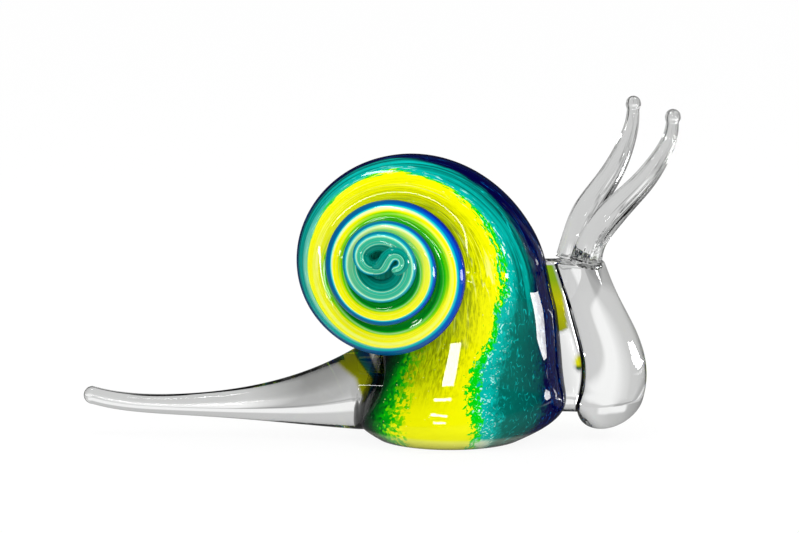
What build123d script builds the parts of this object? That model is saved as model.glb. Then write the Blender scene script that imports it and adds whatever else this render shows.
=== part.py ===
from build123d import *
from math import atan2, cos, exp, hypot, pi, sin, sqrt
from statistics import mean
import os

# A snail ornament in hot-worked glass. A cased, coloured rope of glass rises from a ground flat
# foot and is coiled towards the viewer (-Y), with a clear tail behind (-X), and a clear head with
# two tentacles in front (+X). All lengths are in mm. The origin is the middle of the flat foot.

# Foot and column of the shell
foot_half_width = 42.5
foot_half_depth = 32.0
foot_lean = 9.7
column_half_depth = 25.0
# (height, half width, half depth, lean forward), as shares of the sizes above and of the height
# at which the coil begins
foot_shares = [
    (0.000, 0.70, 0.74, 0.00),
    (0.056, 0.86, 0.91, 0.10),
    (0.165, 1.00, 1.00, 0.44),
    (0.305, 0.955, 0.94, 0.67),
    (0.500, 0.87, 0.88, 0.88),
    (0.725, 0.80, 0.83, 1.00),
]

# Coil of the rope, seen along +Y: it runs from the right of its centre over the top to the left
coil_centre_x = -23.5
coil_centre_z = 71.7
apex_shift_x = -4.9
apex_shift_z = 11.2
coil_radius = 29.5
apex_radius = 7.0
coil_tightening_share = 1.84
full_coil_turns = 4.0
spiral_turns = 3.4
quarter_turn = 0.25

# Radius of the rope: it thins along the coil, from the thick column to the apex, and it is a
# little flatter than it is wide, because each turn was pressed onto the last
rope_tip_radius = 2.0
rope_taper_radius = 9.7
rope_taper_share = 0.492
column_swell_radius = 18.6
column_swell_turns = 0.18
rope_flatness_share = 0.88

# Curl that ends the rope, first the way that the coil turns and then back on itself
curl_outer_radius = 4.4
curl_outer_length = 17.0
curl_inner_radius = 3.1
curl_inner_length = 13.0
curl_ease_length = 3.0
curl_middle_rope_radius = 2.9
curl_tip_rope_radius = 2.1
curl_step = 0.6

# Each turn lies against the turns behind it
turn_clearance = 0.6
forward_sweep_share = 1.6
neighbour_share = 4.5
stations_per_turn = 48
stations_per_section = 4
smoothing_station_count = 3
settling_passes = 6
fall_share = 0.25
sections_per_span = 15

# Layers of the shell, as shares of the rope's radius, the clearance between two layers, and the
# turn at which the colour ends
casing_share = 0.06
colour_share = 0.05
layer_clearance = 0.12
colour_turns = 3.25

# Tail
tail_length = 109.0
tail_root_x = -37.0
tail_root_radius = 17.2
tail_tip_radius = 3.7
tail_depth_share = 0.92
tail_low_z = 12.9
tail_root_rise = 7.4
tail_tip_rise = 4.2
tail_section_count = 10
tail_swell_share = 2.7
tail_root_bend_share = 4.0
tail_tip_bend_share = 8.0
tail_embed = 17.0

# Head: a pear-shaped bulb and the web that joins it to the shell
head_top_z = 73.0
head_bottom_z = 3.4
head_half_width = 13.4
head_half_depth = 13.4
head_front_x = 67.6
head_neck_x = 52.4
# (height, place between neck and front, half width, half depth), as shares
head_shares = [
    (1.00, 0.00, 0.75, 0.98),
    (0.80, 0.33, 0.81, 0.86),
    (0.60, 0.70, 0.93, 0.94),
    (0.40, 0.96, 0.98, 0.99),
    (0.20, 0.92, 0.99, 1.00),
    (0.00, 0.62, 0.95, 0.97),
]
head_bottom_fillet = 9.0
web_root_x = 30.0
web_half_depth = 4.6
web_section_count = 5

# Tentacles
tentacle_base_radius = 6.6
tentacle_bead_radius = 3.0
tentacle_half_gap = 0.2
tentacle_height = 60.0
tentacle_spread = 7.0
right_tentacle_x = 54.3
right_tentacle_reach = 33.2
left_tentacle_x = 50.0
left_tentacle_reach = 24.7
left_tentacle_extra_height = 2.5
# (reach, height, radius), as shares
tentacle_shares = [
    (0.00, 0.00, 1.00),
    (0.07, 0.14, 0.86),
    (0.24, 0.30, 0.88),
    (0.45, 0.43, 0.79),
    (0.68, 0.57, 0.69),
    (0.88, 0.74, 0.55),
    (0.98, 0.88, 0.43),
    (1.00, 1.00, 0.36),
]

# Rounded end of the rope: places along its last radius
tip_shares = [0.5, 0.8, 0.96]

# Gap between the shell and a clear bit that is laid on it
seat_clearance = 0.3

os.makedirs("parts", exist_ok=True)


def rope_radius(turns):
    """Radius of the rope: a steady taper, and the swell into the column at its start."""
    taper = rope_taper_radius * exp(-rope_taper_share * turns)
    swell = column_swell_radius * exp(-turns / column_swell_turns)
    return rope_tip_radius + taper + swell


def rope_depth(turns):
    """Half depth of the rope, which changes evenly from the column's to that of the turns."""
    column_share = column_half_depth / rope_radius(0)
    from_column = min(1, turns / quarter_turn)
    return rope_radius(turns) * (column_share + (rope_flatness_share - column_share) * from_column)


def curl_bend(run):
    """Bend of the curl, 1/mm: with the coil, then an easy change to the other way."""
    bend_in = 1 / curl_outer_radius
    bend_out = -1 / curl_inner_radius
    change = (run - curl_outer_length + curl_ease_length) / (2 * curl_ease_length)
    share = min(1, max(0, change))
    return bend_in + (bend_out - bend_in) * share


def rope_outline():
    """Stations (x, z, half width, half depth) of the rope, as seen from the front."""
    stations = []
    for i in range(round(spiral_turns * stations_per_turn) + 1):
        turns = i / stations_per_turn
        wound = (turns - quarter_turn) / (full_coil_turns - quarter_turn)
        radius = apex_radius + (coil_radius - apex_radius) * (1 - wound) ** coil_tightening_share
        x = coil_centre_x + apex_shift_x * max(0, wound) + radius * cos(2 * pi * turns)
        z = coil_centre_z + apex_shift_z * max(0, wound) + radius * sin(2 * pi * turns)
        stations.append((x, z, rope_radius(turns), rope_depth(turns)))
    x, z, rope, depth = stations[-1]
    heading = atan2(z - stations[-2][1], x - stations[-2][0])
    run = 0
    while run < curl_outer_length + curl_inner_length:
        run += curl_step
        heading += curl_bend(run) * curl_step
        x += cos(heading) * curl_step
        z += sin(heading) * curl_step
        outer_share = min(1, run / curl_outer_length)
        inner_share = max(0, (run - curl_outer_length) / curl_inner_length)
        radius = rope + (curl_middle_rope_radius - rope) * outer_share
        radius += (curl_tip_rope_radius - curl_middle_rope_radius) * inner_share
        stations.append((x, z, radius, radius * rope_flatness_share))
    return stations


def column_outline():
    """Stations (x, z, half width, half depth) of the foot and column, from the ground up."""
    outline = []
    for height, width, depth, lean in foot_shares:
        x = lean * foot_lean
        z = height * coil_centre_z
        outline.append((x, z, width * foot_half_width, depth * foot_half_depth))
    return outline


def rope_runs(stations):
    """Distance along the rope to each station, as seen from the front."""
    runs = [0]
    for (x0, z0, *_), (x1, z1, *_) in zip(stations, stations[1:]):
        runs.append(runs[-1] + hypot(x1 - x0, z1 - z0))
    return runs


def swept_depth(i):
    """Depth of a station before anything is in its way: forward past the column in one turn."""
    first_reach = column_half_depth + rope_depth(1) + turn_clearance
    return -first_reach * min(1, i / stations_per_turn) ** forward_sweep_share


def rested_depths(stations, runs, column, depths):
    """Depth of each station, laid against what lies behind it."""
    rested = []
    for i, (x, z, radius, half_depth) in enumerate(stations):
        front = swept_depth(i)
        if i > stations_per_turn:
            front = rested[-1] + fall_share * (runs[i] - runs[i - 1])
        behind = list(column) if i > stations_per_turn / 2 else []
        for j in range(i):
            if runs[j] > runs[i] - neighbour_share * radius:
                break
            behind.append((*stations[j], depths[j]))
        for x_back, z_back, width, depth, y_back in behind:
            apart = hypot(x - x_back, z - z_back) / (width + radius + turn_clearance)
            if apart < 1:
                reach = (depth + half_depth + turn_clearance) * sqrt(1 - apart**2)
                front = min(front, y_back - reach)
        rested.append(front)
    return rested


def rope_depths(stations):
    """Depths of the stations: one pass settles about one turn on the turns behind it."""
    runs = rope_runs(stations)
    column = [(x, z, width, depth, 0) for x, z, width, depth in column_outline()]
    depths = [swept_depth(i) for i in range(len(stations))]
    for _ in range(settling_passes):
        depths = rested_depths(stations, runs, column, depths)
        for choose in (min, mean):
            smooth = []
            for i in range(len(depths)):
                side = min(smoothing_station_count, i, len(depths) - 1 - i)
                smooth.append(choose(depths[i - side : i + side + 1]))
            depths = smooth
    return depths


def rope_frames():
    """Frames (centre, outward, along, half width, half depth) at every station of the rope."""
    stations = rope_outline()
    depths = rope_depths(stations)
    centres = [Vector(s[0], y, s[1]) for s, y in zip(stations, depths)]
    last = len(stations) - 1
    frames = []
    for i, (_, _, width, depth) in enumerate(stations):
        along = Vector(0, 0, 1)
        if i:
            along = (centres[min(last, i + 1)] - centres[i - 1]).normalized()
        outward = Vector(0, 1, 0).cross(along).normalized()
        frames.append((centres[i], outward, along, width, depth))
    return frames


def section_reach(frame, direction):
    """How far a section reaches from its centre along a unit direction."""
    _, outward, along, width, depth = frame
    return hypot(width * direction.dot(outward), depth * direction.dot(along.cross(outward)))


def least_gap(frames):
    """Least gap between two stretches of the rope that aren't neighbours, on its stations."""
    gap = foot_half_width
    for i, frame in enumerate(frames):
        run = 0
        for j in range(i - 1, -1, -1):
            run += (frames[j][0] - frames[j + 1][0]).length
            if run < neighbour_share * frame[3]:
                continue
            between = frames[j][0] - frame[0]
            direction = between.normalized()
            reach = section_reach(frame, direction) + section_reach(frames[j], direction)
            gap = min(gap, between.length - reach)
    return gap


def scaled(frames, share, inset):
    """The rope's sections at a share of their size, less an inset."""
    sections = []
    for centre, outward, along, width, depth in frames:
        sections.append((centre, outward, along, width * share - inset, depth * share - inset))
    return sections


def rounding(section):
    """The sections that round off the rope's end, from its last full section."""
    centre, outward, along, width, depth = section
    sections = [section]
    for tip_share in tip_shares:
        reach = along * (tip_share * width)
        rim = sqrt(1 - tip_share**2)
        sections.append((centre + reach, outward, along, rim * width, rim * depth))
    return sections


def spans_of(sections):
    """The sections in spans short enough to loft, each beginning where the last one ends."""
    spans = []
    last = len(sections) - 1
    start = 0
    while start < last:
        stop = min(start + sections_per_span, last)
        if last - stop < sections_per_span / 2:
            stop = last
        spans.append(sections[start : stop + 1])
        start = stop
    return spans


def rope_faces(spans):
    """Side faces of the rope through its spans, and its first and last end faces."""
    sides = []
    ends = []
    for sections in spans:
        with BuildPart() as stretch:
            for centre, outward, along, width, depth in sections:
                with BuildSketch(Plane(origin=centre, x_dir=outward, z_dir=along)):
                    Ellipse(width, depth)
            loft()
        caps = stretch.faces().filter_by(GeomType.PLANE)
        sides += [f for f in stretch.faces() if f.geom_type != GeomType.PLANE]
        ends.append(caps.sort_by_distance(sections[0][0])[0])
        ends.append(caps.sort_by_distance(sections[-1][0])[0])
    return sides, ends[0], ends[-1]


def ring(outer_face, inner_face):
    """The flat ring between two end faces."""
    return Face(outer_face.outer_wire(), [inner_face.outer_wire()])


def glass_layer(name, faces):
    """A named solid of glass inside its faces."""
    with BuildPart() as glass:
        add(Solid(Shell(faces)))
    glass.part.label = name
    export_step(glass.part, f"parts/{name}.step")
    return glass


coil_frames = rope_frames()
print(f"least gap of the coil to itself: {least_gap(coil_frames):.2f} mm")

foot_frames = []
for x, z, width, depth in column_outline():
    foot_frames.append((Vector(x, 0, z), Vector(1, 0, 0), Vector(0, 0, 1), width, depth))
all_frames = foot_frames + coil_frames[::stations_per_section]
core_frames = all_frames[:-1]
colour_stations = round(colour_turns * stations_per_turn)
colour_frames = foot_frames + coil_frames[: colour_stations + 1 : stations_per_section]
core_share = 1 - casing_share - colour_share
bore_share = 1 - casing_share

# Core: the solid gather that runs through the whole rope
core = scaled(core_frames, core_share, layer_clearance)
core_sides, core_foot, core_end = rope_faces([*spans_of(core), rounding(core[-1])])
core_gather = glass_layer("core_gather", [*core_sides, core_foot, core_end])

# Colour: the layer round the core, which ends before the curl
outside = scaled(colour_frames, bore_share, layer_clearance)
inside = scaled(colour_frames, core_share, 0)
outer_sides, outer_foot, outer_end = rope_faces(spans_of(outside))
inner_sides, inner_foot, inner_end = rope_faces(spans_of(inside))
colour_rings = [ring(outer_foot, inner_foot), ring(outer_end, inner_end)]
colour_layer = glass_layer("colour_layer", [*outer_sides, *inner_sides, *colour_rings])

# Casing: the clear layer, whose bore narrows onto the core just past the end of the colour
wide_sections = len(colour_frames) + 1
bore = scaled(core_frames[:wide_sections], bore_share, 0)
bore += scaled(core_frames[wide_sections:], core_share, 0)
rope = scaled(all_frames, 1, 0)
casing_sides, casing_foot, casing_end = rope_faces([*spans_of(rope), rounding(rope[-1])])
bore_sides, bore_foot, bore_end = rope_faces([*spans_of(bore), rounding(bore[-1])])
clear_casing = glass_layer(
    "clear_casing",
    [*casing_sides, casing_end, *bore_sides, bore_end, ring(casing_foot, bore_foot)],
)

# Outline of the shell's foot and first half turn, with the seat clearance, to cut the clear bits
with BuildPart() as seat:
    for centre, outward, along, width, depth in all_frames[:sections_per_span]:
        with BuildSketch(Plane(origin=centre, x_dir=outward, z_dir=along)):
            Ellipse(width + seat_clearance, depth + seat_clearance)
    loft()

# Tail
with BuildPart() as tail:
    for i in range(tail_section_count + 1):
        share = i / tail_section_count
        x = tail_root_x - tail_length * (1 - share)
        radius = tail_tip_radius
        radius += (tail_root_radius - tail_tip_radius) * share**tail_swell_share
        z = tail_low_z + tail_root_rise * share**tail_root_bend_share
        z += tail_tip_rise * (1 - share) ** tail_tip_bend_share
        if i == 0:
            for tip_share in reversed(tip_shares):
                tip = Plane(origin=(x - radius * tip_share, 0, z), x_dir=(0, 0, 1), z_dir=(1, 0, 0))
                rim = radius * sqrt(1 - tip_share**2)
                with BuildSketch(tip):
                    Ellipse(rim, rim * tail_depth_share)
        with BuildSketch(Plane(origin=(x, 0, z), x_dir=(0, 0, 1), z_dir=(1, 0, 0))):
            Ellipse(radius, radius * tail_depth_share)
    loft()
    root = tail.faces().sort_by(Axis.X)[-1]
    extrude(root, amount=tail_embed)
    add(seat.part, mode=Mode.SUBTRACT)
tail.part.label = "tail"
export_step(tail.part, "parts/tail.step")

# Head: the bulb, and the web between it and the shell
with BuildPart() as head:
    for height, place, width, depth in head_shares:
        x = head_neck_x + (head_front_x - head_neck_x) * place
        z = head_bottom_z + (head_top_z - head_bottom_z) * height
        with BuildSketch(Plane(origin=(x, 0, z), x_dir=(0, 1, 0))):
            Ellipse(head_half_depth * depth, head_half_width * width)
    loft()
    fillet(head.faces().sort_by(Axis.Z)[0].edges(), radius=head_bottom_fillet)
    for height, place, width, depth in head_shares[:web_section_count]:
        x = head_neck_x + (head_front_x - head_neck_x) * place
        z = head_bottom_z + (head_top_z - head_bottom_z) * height
        with BuildSketch(Plane(origin=((x + web_root_x) / 2, 0, z))):
            Ellipse((x - web_root_x) / 2, web_half_depth)
    loft()
    add(seat.part, mode=Mode.SUBTRACT)
head.part.label = "head"
export_step(head.part, "parts/head.step")


def tentacle(name, base_x, side, reach, height):
    """A drawn bit on the top of the head: its stem along a curve, and the bead at its tip."""
    base_y = side * (tentacle_base_radius + tentacle_half_gap)
    points = []
    for reach_share, height_share, _ in tentacle_shares:
        x = base_x + reach * reach_share
        y = base_y + side * tentacle_spread * height_share
        points.append((x, y, head_top_z + height * height_share))
    with BuildPart() as stem:
        with BuildLine() as path:
            Spline(*points, tangents=[(0, 0, 1), (0, 0, 1)])
        for point, (_, _, radius_share) in zip(points, tentacle_shares):
            along = path.edge().tangent_at(path.edge().param_at_point(point))
            with BuildSketch(Plane(origin=point, x_dir=(0, 1, 0), z_dir=along)):
                Circle(tentacle_base_radius * radius_share)
        loft()
        with Locations(points[-1]):
            Sphere(tentacle_bead_radius)
    stem.part.label = name
    export_step(stem.part, f"parts/{name}.step")
    return stem


right_tentacle = tentacle(
    "right_tentacle", right_tentacle_x, -1, right_tentacle_reach, tentacle_height
)
left_tentacle = tentacle(
    "left_tentacle",
    left_tentacle_x,
    1,
    left_tentacle_reach,
    tentacle_height + left_tentacle_extra_height,
)
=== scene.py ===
"""Looks, studio and camera of a snail ornament in hot-worked glass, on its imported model."""

import logging
from dataclasses import dataclass
from enum import Enum, auto
from functools import partialmethod, reduce

import bpy
import numpy as np
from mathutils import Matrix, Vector

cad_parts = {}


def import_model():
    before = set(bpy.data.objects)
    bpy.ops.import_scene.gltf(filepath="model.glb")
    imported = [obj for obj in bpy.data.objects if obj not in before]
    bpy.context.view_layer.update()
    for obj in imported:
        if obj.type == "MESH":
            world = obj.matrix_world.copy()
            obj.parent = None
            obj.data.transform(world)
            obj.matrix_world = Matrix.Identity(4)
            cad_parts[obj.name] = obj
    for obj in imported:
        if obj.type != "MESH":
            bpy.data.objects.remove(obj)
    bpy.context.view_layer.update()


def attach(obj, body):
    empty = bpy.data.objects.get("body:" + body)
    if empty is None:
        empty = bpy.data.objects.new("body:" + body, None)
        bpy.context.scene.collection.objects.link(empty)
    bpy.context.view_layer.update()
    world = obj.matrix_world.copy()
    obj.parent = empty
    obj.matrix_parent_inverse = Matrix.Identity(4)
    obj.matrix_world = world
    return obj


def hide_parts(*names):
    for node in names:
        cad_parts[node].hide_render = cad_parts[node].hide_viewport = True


LOG = logging.getLogger("snail")
MM = 0.001
TINY = 1e-9
Array = np.ndarray
Material = bpy.types.Material
Mesh = bpy.types.Mesh
Object = bpy.types.Object
Socket = bpy.types.NodeSocket
Tree = bpy.types.NodeTree
Color = tuple[float, float, float, float]
Limits = tuple[float, float, float, float]
Point = tuple[float, float, float]
Span = tuple[float, float]
Rows = tuple[tuple[float, ...], ...]
Stops = tuple[tuple[float, Color], ...]
WHITE: Color = (1.0, 1.0, 1.0, 1.0)


def srgb(red: int, green: int, blue: int) -> Color:
    """Linear colour of three display values from 0 to 255.

    Args:
        red, green, blue: the display values.

    Returns:
        The colour, with an alpha of 1.
    """
    share = np.array([red, green, blue]) / 255
    linear = np.where(share <= 0.04045, share / 12.92, ((share + 0.055) / 1.055) ** 2.4)
    return (*(float(v) for v in linear), 1.0)


def spline(at: Array, values: Array, wanted: Array) -> Array:
    """Natural cubic spline through values.

    The second derivatives m solve h[i-1] m[i-1] + 2 (h[i-1] + h[i]) m[i] + h[i] m[i+1] =
    6 (slope[i] - slope[i-1]) with none at the ends.

    Args:
        at: rising places of the values.
        values: one row of values for each place.
        wanted: places to work out.

    Returns:
        One row for each wanted place.
    """
    step = np.diff(at)
    slope = np.diff(values, axis=0) / step[:, None]
    matrix = np.eye(len(at))
    inner = np.arange(1, len(at) - 1)
    matrix[inner, inner - 1] = step[:-1]
    matrix[inner, inner] = 2 * (step[:-1] + step[1:])
    matrix[inner, inner + 1] = step[1:]
    right = np.zeros_like(values)
    right[1:-1] = 6 * np.diff(slope, axis=0)
    bend = np.linalg.solve(matrix, right)
    k = np.clip(np.searchsorted(at, wanted) - 1, 0, len(step) - 1)
    h = step[k][:, None]
    left = (at[k + 1] - wanted)[:, None] / h
    rest = 1 - left
    curve = (left**3 - left) * bend[k] + (rest**3 - rest) * bend[k + 1]
    return left * values[k] + rest * values[k + 1] + curve * h**2 / 6


def unit(vectors: Array) -> Array:
    """Vectors at length 1."""
    return vectors / np.linalg.norm(vectors, axis=-1, keepdims=True)


def rows(*columns: Array | float) -> Array:
    """Columns, or single numbers, side by side as rows."""
    return np.stack(np.broadcast_arrays(*columns), axis=-1)


def summed(steps: Array) -> Array:
    """Running sum of steps, from 0."""
    return np.concatenate([[0], np.cumsum(steps)])


def run_along(points: Array) -> Array:
    """Distance along a line of points to each of them."""
    return summed(np.linalg.norm(np.diff(points, axis=0), axis=1))


def share_of(values: Array, start: float, end: float) -> Array:
    """How far values have come from a start to an end, held from 0 to 1."""
    return np.clip((values - start) / (end - start), 0, 1)


def looked_up(values: Array, table: Rows) -> Array:
    """Values carried along the straight lines between the rows (place, value) of a table."""
    return np.interp(values, *np.transpose(table))


def circle(count: int) -> Array:
    """Even angles round a circle."""
    return np.arange(count) * 2 * np.pi / count


def with_ends(grid: Array) -> Array:
    """The points of rings as rows, with the means of the first and of the last ring added."""
    flat = grid.reshape(-1, *grid.shape[2:])
    return np.concatenate([flat, grid[:1].mean(axis=1), grid[-1:].mean(axis=1)])


def rings_about(centres: Array, across: Array, side: Array, angles: Array) -> Array:
    """Rings round a path: centre + across cos(angle) + side sin(angle).

    Args:
        centres: one centre for each ring.
        across, side: the two half axes of each ring.
        angles: the angles of the points of every ring.

    Returns:
        Points as rings x points x 3.
    """
    turn = rows(np.cos(angles), np.sin(angles))
    return centres[:, None, :] + turn @ np.stack([across, side], axis=1)


def tube_mesh(name: str, rings: Array, flat_start: bool = False) -> Mesh:
    """Closed mesh of a tube: quads between rings and a fan of triangles at each end.

    Args:
        name: the mesh's name.
        rings: points in mm as rings x points x 3, turning clockwise as seen from the last ring,
            so that the faces point outwards.
        flat_start: whether the first end is a flat face with a sharp edge.

    Returns:
        The mesh, in metres.
    """
    count, around, _ = rings.shape
    points = with_ends(rings) * MM
    start = np.arange(count)[:, None] * around
    here = np.arange(around)
    row, above, after = start[:-1], start[1:], np.roll(here, -1)
    walls = rows(row + here, above + here, above + after, row + after).reshape(-1, 4).tolist()
    start_fan = rows(count * around, here, after).tolist()
    end_fan = rows(count * around + 1, start[-1] + after, start[-1] + here).tolist()
    mesh = bpy.data.meshes.new(name)
    mesh.from_pydata(points.tolist(), [], walls + start_fan + end_fan)
    smooth = np.ones(len(mesh.polygons), bool)
    smooth[len(walls) : len(walls) + around] = not flat_start
    mesh.polygons.foreach_set("use_smooth", smooth)
    mesh.validate()
    return mesh


def sheet_mesh(name: str, corners: list) -> Mesh:
    """Mesh of one flat face.

    Args:
        name: the mesh's name.
        corners: its outline, in metres.

    Returns:
        The mesh.
    """
    mesh = bpy.data.meshes.new(name)
    mesh.from_pydata(corners, [], [range(len(corners))])
    return mesh


def set_attribute(mesh: Mesh, name: str, values: Array) -> None:
    """Stores one number or vector for each point of a tube mesh, with the ends' centres added.

    Args:
        mesh: a mesh made by tube_mesh.
        name: the attribute's name.
        values: rings x points, or rings x points x 3.
    """
    kind, key = ("FLOAT_VECTOR", "vector") if values.ndim == 3 else ("FLOAT", "value")
    attribute = mesh.attributes.new(name, kind, "POINT")
    attribute.data.foreach_set(key, with_ends(values).ravel().astype(np.float32))


def set_drawn(mesh: Mesh, angles: Array, radius: float, run: Array) -> None:
    """Stores where each point lies on the drawn glass, round it and along it, in mm.

    Args:
        mesh: a mesh made by tube_mesh.
        angles: angles of the points of every ring.
        radius: radius of the circle that the angles are laid on.
        run: distance along the glass to each ring.
    """
    across, aside = radius * np.cos(angles), radius * np.sin(angles)
    set_attribute(mesh, "drawn", rows(across, aside, run[:, None]))


def set_painted_refraction(mesh: Mesh, amount: Array, hue: Array) -> None:
    """Stores how much of the shell's colour is painted into clear glass as a painted refraction of
    the shell behind it, and which place on it.
    """
    set_attribute(mesh, "refraction", rows(amount, hue, 0.0))


def linked(name: str, data: bpy.types.ID) -> Object:
    """A new object in the scene.

    Args:
        name: its name.
        data: its mesh, light or camera.

    Returns:
        The object.
    """
    made = bpy.data.objects.new(name, data)
    bpy.context.scene.collection.objects.link(made)
    return made


def aimed(name: str, data: bpy.types.ID, place: Vector, aim: Vector) -> Object:
    """A new light or camera in the scene that faces a point.

    Args:
        name: its name.
        data: its light or camera data.
        place: where it stands.
        aim: what it faces.

    Returns:
        The object.
    """
    made = linked(name, data)
    made.location = place
    made.rotation_euler = (aim - place).to_track_quat("-Z", "Y").to_euler()
    return made


def add_piece(mesh: Mesh, finish: Material, slot: str, *nodes: str) -> None:
    """Puts a mesh into the scene as a piece of the snail.

    Args:
        mesh: the piece's mesh, in its place.
        finish: its material.
        slot: the record's material slot; not used.
        nodes: the CAD nodes that it stands for.
    """
    piece = linked(mesh.name, mesh)
    mesh.materials.append(finish)
    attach(piece, "root")
    if nodes:
        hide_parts(*nodes)
    LOG.info("%s: %d faces, for %s", mesh.name, len(mesh.polygons), ", ".join(nodes) or "no node")


def numbered(values: tuple, first: int = 0) -> dict[str, object]:
    """Values under the numbers of a node's inputs, as Graph.node takes them."""
    return {f"i{n}": value for n, value in enumerate(values, first)}


class Graph:
    """A node tree that is filled by short calls."""

    def __init__(self, tree: Tree) -> None:
        """Takes a tree, and empties it."""
        self.tree = tree
        tree.nodes.clear()

    def node(self, kind: str, settings: dict | None = None, **inputs: object) -> bpy.types.Node:
        """Adds a node.

        Args:
            kind: the node's type, such as ShaderNodeMath.
            settings: its properties.
            inputs: values or output sockets for its inputs, by name with _ for a space, or by
                number with a leading i.

        Returns:
            The node.
        """
        made = self.tree.nodes.new(kind)
        for key, value in (settings or {}).items():
            setattr(made, key, value)
        for key, value in inputs.items():
            socket = made.inputs[int(key[1:]) if key[1:].isdigit() else key.replace("_", " ")]
            if isinstance(value, Socket):
                self.tree.links.new(value, socket)
            else:
                socket.default_value = value
        return made

    def math(self, operation: str, *values: object) -> Socket:
        """The result of a Math node on numbers or sockets."""
        return self.node("ShaderNodeMath", {"operation": operation}, **numbered(values)).outputs[0]

    def fold(self, operation: str, *values: object) -> Socket:
        """The result of Math nodes that take in numbers or sockets one after another."""
        return reduce(lambda result, value: self.math(operation, result, value), values)

    times = partialmethod(fold, "MULTIPLY")
    plus = partialmethod(fold, "ADD")
    most = partialmethod(fold, "MAXIMUM")

    def vector(self, operation: str, *values: object, output: str = "Vector") -> Socket:
        """The result of a Vector Math node on vectors or sockets."""
        made = self.node("ShaderNodeVectorMath", {"operation": operation}, **numbered(values))
        return made.outputs[output]

    def remap(self, value: object, *limits: float, smooth: bool = False) -> Socket:
        """A value carried from (least, most) to (least, most) and held there, eased if smooth."""
        kind = {"interpolation_type": "SMOOTHSTEP" if smooth else "LINEAR"}
        return self.node("ShaderNodeMapRange", kind, i0=value, **numbered(limits, 1)).outputs[0]

    def ease(self, value: object, *limits: float) -> Socket:
        """A value carried from one range to another, with a smooth start and end."""
        return self.remap(value, *limits, smooth=True)

    def zone(self, value: object, limits: Limits) -> Socket:
        """1 between the middle two of four rising limits, and 0 outside the outer two."""
        return self.times(self.ease(value, *limits[:2], 0, 1), self.ease(value, *limits[2:], 1, 0))

    def swing(self, value: object, size: object) -> Socket:
        """A share from 0 to 1 as an offset of a size to both sides."""
        return self.times(self.math("SUBTRACT", value, 0.5), size)

    def mix(self, factor: object, first: object, second: object) -> Socket:
        """A mix of two colours."""
        mixed = self.node("ShaderNodeMix", {"data_type": "RGBA"}, i0=factor, i6=first, i7=second)
        return mixed.outputs[2]

    def blend(self, factor: object, first: object, second: object) -> Socket:
        """A mix of two numbers."""
        mixed = self.node("ShaderNodeMix", {"data_type": "FLOAT"}, i0=factor, i2=first, i3=second)
        return mixed.outputs[0]

    def ramp(self, value: object, stops: Stops) -> Socket:
        """Colours along a value.

        Args:
            value: the value's socket.
            stops: rising (place, colour) stops.

        Returns:
            The colour's socket.
        """
        ramped = self.node("ShaderNodeValToRGB", i0=value)
        elements = ramped.color_ramp.elements
        for place, _ in stops[1:-1]:
            elements.new(place)
        for element, (place, color) in zip(elements, stops):
            element.position = place
            element.color = color
        return ramped.outputs[0]

    def attribute(self, name: str, output: str = "Fac") -> Socket:
        """One of the mesh's own attributes."""
        return self.node("ShaderNodeAttribute", {"attribute_name": name}).outputs[output]

    def axes(self, vector: Socket) -> list[Socket]:
        """The three parts of a vector."""
        return list(self.node("ShaderNodeSeparateXYZ", i0=vector).outputs)

    def where(self, kind: str = "Object") -> Socket:
        """The place on the object, or another texture coordinate."""
        return self.node("ShaderNodeTexCoord").outputs[kind]

    def ripples(self, polish: Tree, *sizes: float) -> Socket:
        """The normal of the shared ripples, with their cycles across and along and their depth."""
        return self.node("ShaderNodeGroup", {"node_tree": polish}, **numbered(sizes)).outputs[0]

    def surface(self, shader: bpy.types.Node) -> None:
        """Gives the material its shader."""
        self.node("ShaderNodeOutputMaterial", Surface=shader.outputs[0])


def new_material(name: str, graph: type[Graph] = Graph) -> tuple[Material, Graph]:
    """A new material with an empty graph.

    Args:
        name: the material's name.
        graph: the kind of graph.

    Returns:
        The material and its graph.
    """
    made = bpy.data.materials.new(name)
    made.use_nodes = True
    return made, graph(made.node_tree)


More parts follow.
